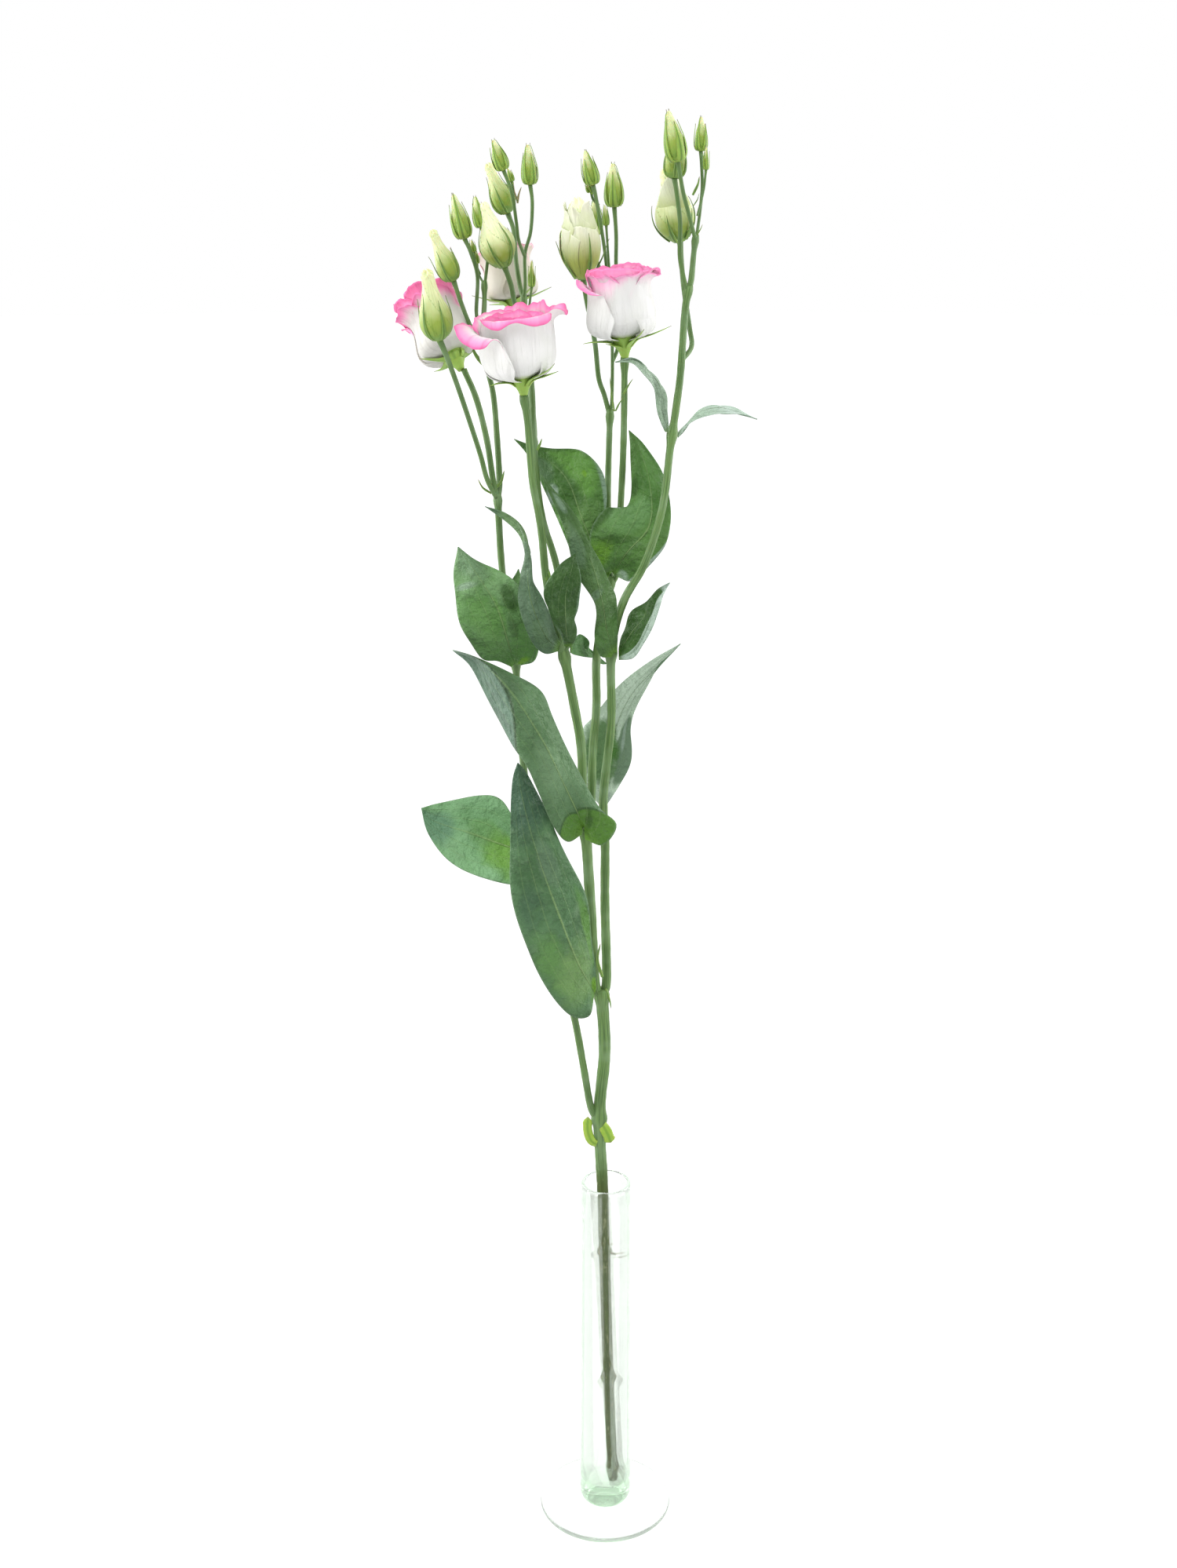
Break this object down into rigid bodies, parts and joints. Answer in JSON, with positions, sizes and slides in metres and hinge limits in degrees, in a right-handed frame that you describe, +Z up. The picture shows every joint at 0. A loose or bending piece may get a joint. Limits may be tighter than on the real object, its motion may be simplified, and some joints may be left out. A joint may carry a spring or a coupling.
{
  "type": "lisianthus flower stem in bud vase",
  "caption": "Branched cut stem of pink-edged white lisianthus, with open double flowers, buds and grey-green leaves, standing in a slim clear glass bud vase on a flat round foot",
  "frame": {"origin": "centre of the vase foot's flat underside, on the surface that it stands on", "axes": "+Z up along the vase; -Y is the front, from which the two largest open flowers are seen; +X is to the right of that view"},
  "size_m": [0.189, 0.134, 0.8141],
  "materials": {
    "clear_glass": "gloss",
    "stem_green": "satin",
    "leaf_green": "satin",
    "bud_green": "satin",
    "calyx_green": "satin",
    "petal_white": "matte",
    "petal_pink_edge": "matte"
  },
  "bodies": {
    "root": {"vase_foot": "clear_glass", "vase_tube": "clear_glass", "stem_back": "stem_green", "stem_back_tip": "stem_green", "stem_front": "stem_green", "stem_front_tip": "stem_green", "stem_left": "stem_green", "stem_left_tip": "stem_green", "stem_main": "stem_green", "stem_middle": "stem_green", "stem_right": "stem_green", "stem_right_tip": "stem_green", "stalk_back_flower": "stem_green", "stalk_front_flower": "stem_green", "stalk_left_flower": "stem_green", "stalk_right_flower": "stem_green", "leaf_far_left": "leaf_green", "leaf_front_ovate": "leaf_green", "leaf_front_right": "leaf_green", "leaf_high_left": "leaf_green", "leaf_high_right": "leaf_green", "leaf_left_back": "leaf_green", "leaf_left_broad": "leaf_green", "leaf_left_front": "leaf_green", "leaf_long_front": "leaf_green", "leaf_lowest": "leaf_green", "leaf_middle_back": "leaf_green", "leaf_middle_front": "leaf_green", "leaf_right_broad": "leaf_green", "leaf_right_folded": "leaf_green", "leaf_twisted": "leaf_green", "bud_back_hidden": "bud_green", "bud_back_large": "bud_green", "bud_back_left": "bud_green", "bud_back_right": "bud_green", "bud_front_high": "bud_green", "bud_front_large": "bud_green", "bud_front_left": "bud_green", "bud_front_low": "bud_green", "bud_front_right": "bud_green", "bud_left_front": "bud_green", "bud_left_outer": "bud_green", "bud_left_small": "bud_green", "bud_left_upper": "bud_green", "bud_right_behind": "bud_green", "bud_right_front": "bud_green", "bud_right_large": "bud_green", "bud_right_small": "bud_green", "flower_back_calyx": "calyx_green", "flower_back_inner_petals": "petal_pink_edge", "flower_back_outer_petals": "petal_white", "flower_front_calyx": "calyx_green", "flower_front_inner_petals": "petal_pink_edge", "flower_front_outer_petals": "petal_white", "flower_left_calyx": "calyx_green", "flower_left_inner_petals": "petal_pink_edge", "flower_left_outer_petals": "petal_white", "flower_right_calyx": "calyx_green", "flower_right_inner_petals": "petal_pink_edge", "flower_right_outer_petals": "petal_white"}
  },
  "joints": []
}
